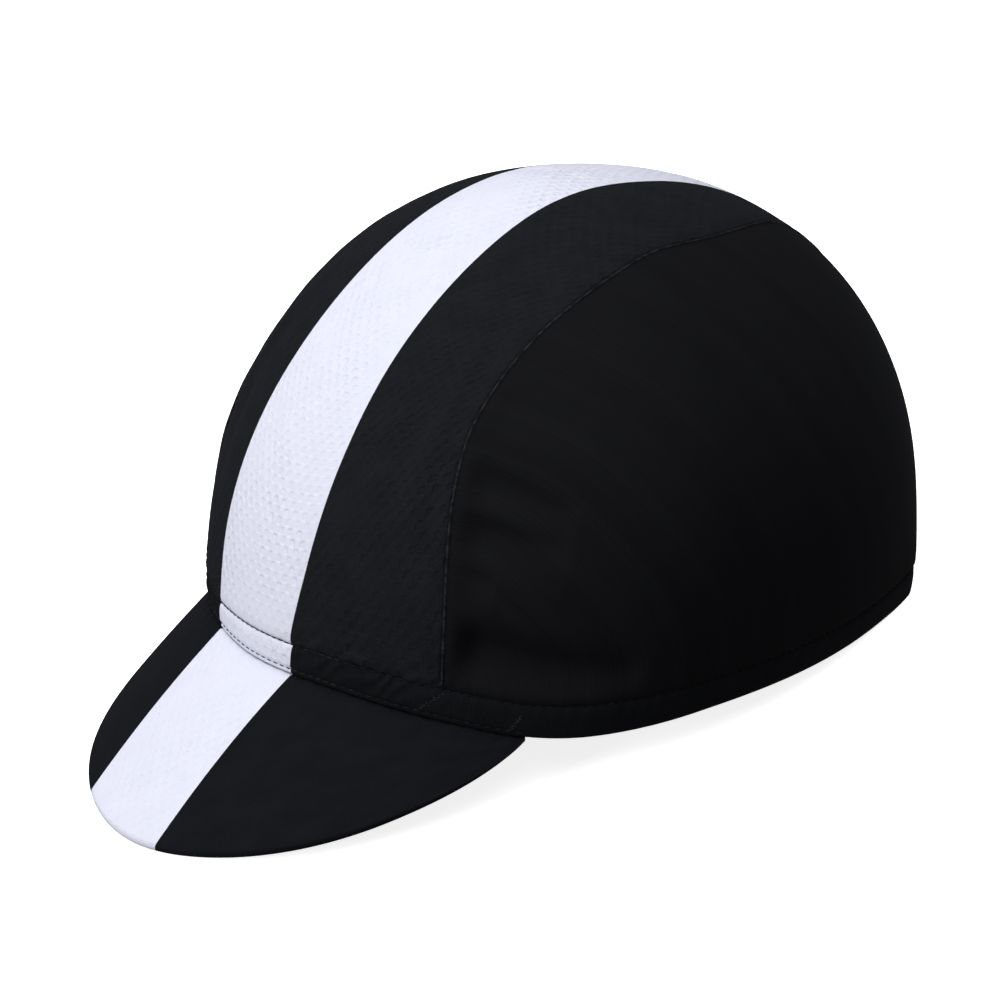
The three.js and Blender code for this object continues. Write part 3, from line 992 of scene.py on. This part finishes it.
def stitch_run(path, normal, length_, gap, worn):
    """Short rounded stitches laid along a path of points: vertices, faces and whether each face is worn"""
    thread = bpy.context.scene.cap_sewing.thread
    run = arc_lengths(path, 0)
    count = max(int(run[-1] / (length_ + gap)), 1)
    pitch = run[-1] / count
    t = np.linspace(0, 1, STITCH_JOINTS)
    at = np.arange(count)[:, None] * pitch + (pitch - gap) * t
    centre = np.stack([np.interp(at, run, path[:, k]) for k in range(3)], -1)
    up = unit(np.stack([np.interp(at, run, normal[:, k]) for k in range(3)], -1))
    aside = np.cross(unit(np.gradient(centre, axis=1)), up)
    girth = thread * np.sqrt(np.clip(1 - (2 * t - 1) ** 4, 0.08, 1))
    lift = thread * (0.55 - 1.1 * (2 * t - 1) ** 2)
    phase = np.linspace(0, TAU, STITCH_SIDES, endpoint=False)
    ring = (
        (centre + up * lift[None, :, None])[:, :, None, :]
        + aside[:, :, None, :] * (girth[:, None] * np.cos(phase))[None, :, :, None]
        + up[:, :, None, :] * (girth[:, None] * np.sin(phase))[None, :, :, None]
    )
    corners = list(range(STITCH_JOINTS * STITCH_SIDES))
    tube = grid_faces(STITCH_JOINTS, STITCH_SIDES, (False, True))[:, [0, 3, 2, 1]].tolist()
    one = tube + [corners[:STITCH_SIDES][::-1], corners[-STITCH_SIDES:]]
    origins = range(0, count * len(corners), len(corners))
    faces = [[origin + corner for corner in face] for origin in origins for face in one]
    is_worn = np.interp(at.mean(axis=1), run, np.broadcast_to(worn, run.shape)) > 0.5
    return ring.reshape(-1, 3), faces, np.repeat(is_worn, len(one))


def thread_piece(name, runs):
    """One object from several runs of stitches"""
    vertices, faces, worn, total = [], [], [], 0
    for points, corners, marks in runs:
        vertices += points.tolist()
        faces += [[total + corner for corner in face] for face in corners]
        worn.append(marks)
        total += len(points)
    mesh = bpy.data.meshes.new(name)
    mesh.from_pydata(vertices, [], faces)
    mesh.materials.append(thread_material("Thread", "thread"))
    mesh.materials.append(thread_material("Thread, worn", "worn_thread"))
    mesh.polygons.foreach_set("material_index", np.concatenate(worn).astype(np.int32))
    link_piece(name, mesh)


def on_hem(turn, height):
    """Floor frame point and outward direction on the outside of the turned hem"""
    up = height / stitch_row(turn) * 2 - 1
    rise = rise_at(turn, height)
    outward = set_down(off_crown(turn, rise, MM)) - set_down(crown_point(turn, rise))
    return set_down(hem_surface(turn, up, 0.96)), unit(outward)


def tack(turn, lean, ends, heights):
    """An upright zigzag of short stitches that locks a seam's end"""
    k = np.linspace(0, 1, TACK_POINTS)
    beat = 0.65 + 0.35 * np.sin(5.1 * np.arange(TACK_POINTS) + 0.7)
    zigzag = np.where(np.arange(TACK_POINTS) % 2, 0.5, -0.5) * TACK_WIDTH * beat
    start, end = (part * lean for part in ends)
    arc = start + (end - start) * k + zigzag
    height = heights[0] + (heights[1] - heights[0]) * k
    path, normal = on_hem(turn + arc / bpy.context.scene.cap_form.half_width, height)
    step = arc_lengths(path, 0)[-1] / (TACK_POINTS - 1)
    return stitch_run(path, normal, 0.85 * step, 0.1 * step, 1.0)


def worn_at(turn):
    degrees = np.degrees(np.abs(turn))
    return (degrees > WORN_FROM) & (degrees < WORN_TO)


def build_stitches():
    sewing = bpy.context.scene.cap_sewing
    turn = np.linspace(-math.pi, math.pi, UPPER_POINTS)
    rise = rise_at(turn, stitch_row(turn))
    out = -0.1 * MM + unevenness(turn, 0.05)
    path = set_down(off_crown(turn, rise, out))
    normal = unit(set_down(off_crown(turn, rise, out + MM)) - path)
    row = stitch_run(path, normal, sewing.stitch, sewing.stitch_gap, worn_at(turn))
    thread_piece("hem_upper_stitches", [row])
    corner = peak_corner_turn()
    turn = np.linspace(-corner, corner, LOWER_POINTS)
    path, normal = on_hem(turn, sewing.lower_row)
    row = stitch_run(path, normal, 0.8 * sewing.stitch, sewing.lower_gap, worn_at(turn))
    thread_piece("hem_lower_stitches", [row])
    seam_across, seam_along = seam_plan(10)
    foot = math.atan2(seam_across[0], -seam_along[0])
    heights = sewing.lower_row, stitch_row(foot) - 0.3 * MM
    tacks = []
    for side in (1, -1):
        lean = TACK_LEAN * side
        tacks.append(tack(side * foot, lean, SEAM_TACK, heights))
        tacks.append(tack(side * corner, lean, CORNER_TACK, CORNER_TACK_HEIGHTS))
    thread_piece("hem_tacks", tacks)


# Materials


def new_material(name):
    material = bpy.data.materials.new(name)
    material.use_nodes = True
    return material, material.node_tree, material.node_tree.nodes["Principled BSDF"]


def add(tree, kind, values=(), **settings_):
    node = tree.nodes.new(kind)
    for key, value in settings_.items():
        setattr(node, key, value)
    for key, value in dict(values).items():
        if isinstance(value, bpy.types.NodeSocket):
            tree.links.new(value, node.inputs[key])
        else:
            node.inputs[key].default_value = value
    return node


def math_node(tree, operation, a, b=0.0, c=0.0):
    return add(tree, "ShaderNodeMath", {0: a, 1: b, 2: c}, operation=operation).outputs[0]


def times(tree, a, b):
    return math_node(tree, "MULTIPLY", a, b)


def noise(tree, place, scale, detail=2.0, output=0):
    values = {"Vector": place, "Scale": scale, "Detail": detail}
    return add(tree, "ShaderNodeTexNoise", values).outputs[output]


def remap(tree, value, low, high, start=0.0, end=1.0, kind="LINEAR"):
    """A value's way from low to high becomes the way from start to end"""
    values = {0: value, 1: low, 2: high, 3: start, 4: end}
    return add(tree, "ShaderNodeMapRange", values, interpolation_type=kind).outputs[0]


def vector_math(tree, operation, values):
    return add(tree, "ShaderNodeVectorMath", values, operation=operation).outputs[0]


def tint(tree, shader, colour_name, level):
    """A named colour, made darker or lighter by a level"""
    value = tuple(getattr(bpy.context.scene.cap_colours, colour_name))
    tree.links.new(vector_math(tree, "SCALE", {0: value, "Scale": level}), shader.inputs["Base Color"])


def emboss(tree, shader, height, depth, strength):
    bump = add(tree, "ShaderNodeBump", {"Strength": strength, "Distance": depth, "Height": height})
    tree.links.new(bump.outputs[0], shader.inputs["Normal"])


def cloth_axes(tree):
    """The cloth's own width and length in metres, a little wavy"""
    uv = add(tree, "ShaderNodeUVMap", uv_map="cloth").outputs[0]
    wander = vector_math(tree, "SUBTRACT", {0: noise(tree, uv, 90.0, output="Color"), 1: (0.5, 0.5, 0.5)})
    wander = vector_math(tree, "SCALE", {0: wander, "Scale": 1.0 * MM})
    parts = add(tree, "ShaderNodeSeparateXYZ", {0: vector_math(tree, "ADD", {0: uv, 1: wander})}).outputs
    return uv, parts[0], parts[1]


def wave(tree, coordinate, pitch):
    return math_node(tree, "COSINE", times(tree, coordinate, TAU / pitch))


def shaped_wave(tree, coordinate, pitch, power):
    """A wave whose crests are broad when the power is under 1 and narrow when it is over"""
    value = wave(tree, coordinate, pitch)
    size = math_node(tree, "POWER", math_node(tree, "ABSOLUTE", value), power)
    return times(tree, math_node(tree, "SIGN", value), size)


def dimples(tree, u, v):
    """Staggered dimples of the mesh knit: 1 in a dimple, 0 between"""
    crests = [shaped_wave(tree, *crest) for crest in zip((u, v), DIMPLE_PITCH, DIMPLE_POWER)]
    return remap(tree, times(tree, *crests), *DIMPLE_EDGE, kind="SMOOTHSTEP")


def finish_cloth(tree, shader, uv, colour_name, relief, depth, dark, lift=1.0):
    """Colour, sheen and bump of a knit; its relief is 1 in a hollow, and lift lightens the whole"""
    look = PRINTED if colour_name == "print" else BLACK
    fibres = noise(tree, uv, FIBRES)
    level = remap(tree, noise(tree, uv, PATCHES, 4.0), 0.3, 0.7, 1 - look["patches"], 1 + look["patches"])
    clear = remap(tree, noise(tree, uv, CLEARNESS, 1.0), 0.3, 0.7, look["clear"], 0.9)
    worn = remap(tree, noise(tree, uv, WEAR_AND_HIGHLIGHT, 1.0), 0.3, 0.65, 0.35, 1.0)
    relief = times(tree, relief, times(tree, clear, worn))
    shade = times(tree, math_node(tree, "MULTIPLY_ADD", relief, -dark, 1.0), lift)
    grain = remap(tree, fibres, 0.3, 0.7, 1 - look["grain"], 1 + look["grain"])
    tint(tree, shader, colour_name, times(tree, times(tree, level, shade), grain))
    tree.links.new(remap(tree, fibres, 0.2, 0.8, 0.72, 0.95), shader.inputs["Roughness"])
    emboss(tree, shader, math_node(tree, "SUBTRACT", times(tree, fibres, 0.35), relief), depth, 0.75)
    shader.inputs["Specular IOR Level"].default_value = look["gloss"]
    shader.inputs["Sheen Weight"].default_value = look["sheen"]
    shader.inputs["Sheen Roughness"].default_value = 0.45
    shader.inputs["Sheen Tint"].default_value = (0.85, 0.9, 1.0, 1.0)


def mesh_knit(name, colour_name, **relief):
    """Birdseye mesh with staggered dimples"""
    material, tree, shader = new_material(name)
    uv, u, v = cloth_axes(tree)
    finish_cloth(tree, shader, uv, colour_name, dimples(tree, u, v), **relief)
    return material


def painted_seam_highlight(tree):
    """Painted highlight on the rolled edge of a panel along its seam: how much lighter it is, in broken
    lengths
    """
    place = add(tree, "ShaderNodeUVMap", uv_map="seam").outputs[0]
    parts = add(tree, "ShaderNodeSeparateXYZ", {0: place}).outputs
    crest = remap(tree, parts[0], 0.75 * MM, 0.4 * MM)
    run = {"W": times(tree, parts[1], WEAR_AND_HIGHLIGHT), "Scale": 1.0, "Detail": 3.0}
    broken = add(tree, "ShaderNodeTexNoise", run, noise_dimensions="1D").outputs[0]
    broken = remap(tree, broken, 0.42, 0.58, 0.1, 1.0)
    return math_node(tree, "MULTIPLY_ADD", times(tree, crest, broken), 2.4, 1.0)


def fine_knit(name, colour_name, seam=False):
    """Fine knit with upright ribs, broken into short dashes"""
    material, tree, shader = new_material(name)
    uv, u, v = cloth_axes(tree)
    drawn = add(tree, "ShaderNodeCombineXYZ", {0: u, 1: times(tree, v, 0.3)}).outputs[0]
    broken = remap(tree, noise(tree, drawn, 900.0), 0.35, 0.65, 0.1, 1.0)
    ribs = times(tree, wave(tree, u, RIB_PITCH), broken)
    # On the side panels the lift carries a painted highlight along the rolled seam edge
    finish_cloth(tree, shader, uv, colour_name, ribs, lift=painted_seam_highlight(tree) if seam else 1.0, **FINE)
    return material


def thread_material(name, colour_name):
    """Twisted thread, made once for all the stitches"""
    material = bpy.data.materials.get(name)
    if material:
        return material
    material, tree, shader = new_material(name)
    place = add(tree, "ShaderNodeTexCoord").outputs["Object"]
    ply = noise(tree, place, 3000.0)
    frayed = remap(tree, noise(tree, place, 110.0, 1.0), 0.55, 0.66, 1.0, 2.0)
    tint(tree, shader, colour_name, times(tree, remap(tree, ply, 0.3, 0.7, 0.6, 1.4), frayed))
    emboss(tree, shader, ply, 0.05 * MM, 0.5)
    shader.inputs["Roughness"].default_value = 0.55
    shader.inputs["Sheen Weight"].default_value = 0.03
    shader.inputs["Specular IOR Level"].default_value = 0.1
    return material


# Stage


def view_axes():
    """Right, up and back of the camera"""
    stage = bpy.context.scene.cap_stage
    turn, lift, roll = stage.azimuth, stage.elevation, stage.roll
    right = Vector((math.cos(turn), math.sin(turn), 0))
    back = Vector((math.sin(turn) * math.cos(lift), -math.cos(turn) * math.cos(lift), math.sin(lift)))
    up = back.cross(right)
    return math.cos(roll) * right + math.sin(roll) * up, math.cos(roll) * up - math.sin(roll) * right, back


def add_camera():
    stage = bpy.context.scene.cap_stage
    right, up, back = view_axes()
    aim = Vector((0, 0, stage.aim_height)) + right * stage.aim_right + up * stage.aim_up
    camera = bpy.data.objects.new("camera", bpy.data.cameras.new("camera"))
    camera.data.lens = stage.lens
    camera.data.sensor_width = 36
    camera.data.clip_start = 0.01
    turn = Matrix((right, up, back)).transposed().to_4x4()
    camera.matrix_world = Matrix.Translation(aim + back * stage.distance) @ turn
    bpy.context.scene.collection.objects.link(camera)
    bpy.context.scene.camera = camera


def add_light(name, towards, softness, strength):
    """A broad, distant light that shines from a direction"""
    light = bpy.data.lights.new(name, "SUN")
    light.angle = math.radians(softness)
    light.energy = strength
    lamp = bpy.data.objects.new(name, light)
    lamp.location = towards
    lamp.rotation_euler = (-towards).to_track_quat("-Z", "Y").to_euler()
    bpy.context.scene.collection.objects.link(lamp)


def build_stage():
    stage = bpy.context.scene.cap_stage
    mesh = bpy.data.meshes.new("floor")
    corners = [(x * FLOOR_HALF, y * FLOOR_HALF, 0) for x, y in ((-1, -1), (1, -1), (1, 1), (-1, 1))]
    mesh.from_pydata(corners, [], [(0, 1, 2, 3)])
    material, tree, shader = new_material("Floor")
    place = add(tree, "ShaderNodeTexCoord").outputs["Object"]
    tint(tree, shader, "floor", remap(tree, noise(tree, place, 3.0), 0.0, 1.0, 0.995, 1.005))
    shader.inputs["Roughness"].default_value = 0.9
    shader.inputs["Specular IOR Level"].default_value = 0.1
    shader.inputs["Emission Color"].default_value = (1.0, 1.0, 1.0, 1.0)
    shader.inputs["Emission Strength"].default_value = stage.floor_glow
    mesh.materials.append(material)
    floor = bpy.data.objects.new("floor", mesh)
    bpy.context.scene.collection.objects.link(floor)
    floor.visible_diffuse = False
    floor.visible_glossy = False
    right, _, back = view_axes()
    level_back = Vector((back.x, back.y, 0)).normalized()
    level_right = Vector((right.x, right.y, 0)).normalized()
    add_light("key", 0.45 * level_back - 0.75 * level_right + Vector((0, 0, 0.5)), 30, stage.key)
    add_light("top", Vector((0, 0.1, 1)), 45, stage.top)
    add_light("fill", level_back + 0.1 * level_right + Vector((0, 0, 1.7)), 35, stage.fill)
    world = bpy.data.worlds.new("sky")
    world.use_nodes = True
    sky = world.node_tree.nodes["Background"].inputs
    sky["Color"].default_value = (1, 1, 1, 1)
    sky["Strength"].default_value = stage.sky
    bpy.context.scene.world = world
    bpy.context.scene.view_settings.view_transform = "Standard"
    add_camera()


class CAP_OT_middle_panel(bpy.types.Operator):
    """Add the middle panel of mesh knit with its printed stripe"""

    bl_idname = "cap.middle_panel"
    bl_label = "Middle Panel"

    def execute(self, context):
        build_middle_panel()
        return {"FINISHED"}


class CAP_OT_side_panels(bpy.types.Operator):
    """Add the two side panels of fine knit"""

    bl_idname = "cap.side_panels"
    bl_label = "Side Panels"

    def execute(self, context):
        for spec in SIDES:
            build_side_panel(spec)
        return {"FINISHED"}


class CAP_OT_hem_band(bpy.types.Operator):
    """Add the turned hem"""

    bl_idname = "cap.hem_band"
    bl_label = "Hem Band"

    def execute(self, context):
        build_hem_band()
        return {"FINISHED"}


class CAP_OT_peak(bpy.types.Operator):
    """Add the covered peak"""

    bl_idname = "cap.peak"
    bl_label = "Peak"

    def execute(self, context):
        build_peak()
        return {"FINISHED"}


class CAP_OT_stitches(bpy.types.Operator):
    """Add the rows of stitches along the hem"""

    bl_idname = "cap.stitches"
    bl_label = "Stitches"

    def execute(self, context):
        build_stitches()
        return {"FINISHED"}


class CAP_OT_stage(bpy.types.Operator):
    """Add the floor, the lights and the camera"""

    bl_idname = "cap.stage"
    bl_label = "Stage"

    def execute(self, context):
        build_stage()
        return {"FINISHED"}


class CAP_PT_sidebar(bpy.types.Panel):
    """Lists the cap's pieces, and its sizes with labels made from their names"""

    bl_idname = "CAP_PT_sidebar"
    bl_label = "Cycling Cap"
    bl_space_type = "VIEW_3D"
    bl_region_type = "UI"
    bl_category = "Cap"

    def draw(self, context):
        for operator in OPERATORS:
            self.layout.operator(operator.bl_idname)
        for group in GROUPS:
            box = self.layout.box()
            for name in group.__annotations__:
                label = name.replace("_", " ").capitalize()
                box.prop(getattr(context.scene, GROUPS[group]), name, text=label)


OPERATORS = (
    CAP_OT_stage,
    CAP_OT_middle_panel,
    CAP_OT_side_panels,
    CAP_OT_hem_band,
    CAP_OT_peak,
    CAP_OT_stitches,
)
GROUPS = {CapForm: "cap_form", CapSewing: "cap_sewing", CapColours: "cap_colours", CapStage: "cap_stage"}


def register():
    for item in (*GROUPS, *OPERATORS, CAP_PT_sidebar):
        bpy.utils.register_class(item)
    for group, name in GROUPS.items():
        setattr(bpy.types.Scene, name, PointerProperty(type=group))


def unregister():
    for name in GROUPS.values():
        delattr(bpy.types.Scene, name)
    for item in (CAP_PT_sidebar, *reversed(OPERATORS), *reversed(GROUPS)):
        bpy.utils.unregister_class(item)


def main():
    register()
    bpy.ops.cap.stage()
    bpy.ops.cap.middle_panel()
    bpy.ops.cap.side_panels()
    bpy.ops.cap.hem_band()
    bpy.ops.cap.peak()
    bpy.ops.cap.stitches()
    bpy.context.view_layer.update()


if __name__ == "__main__":
    main()
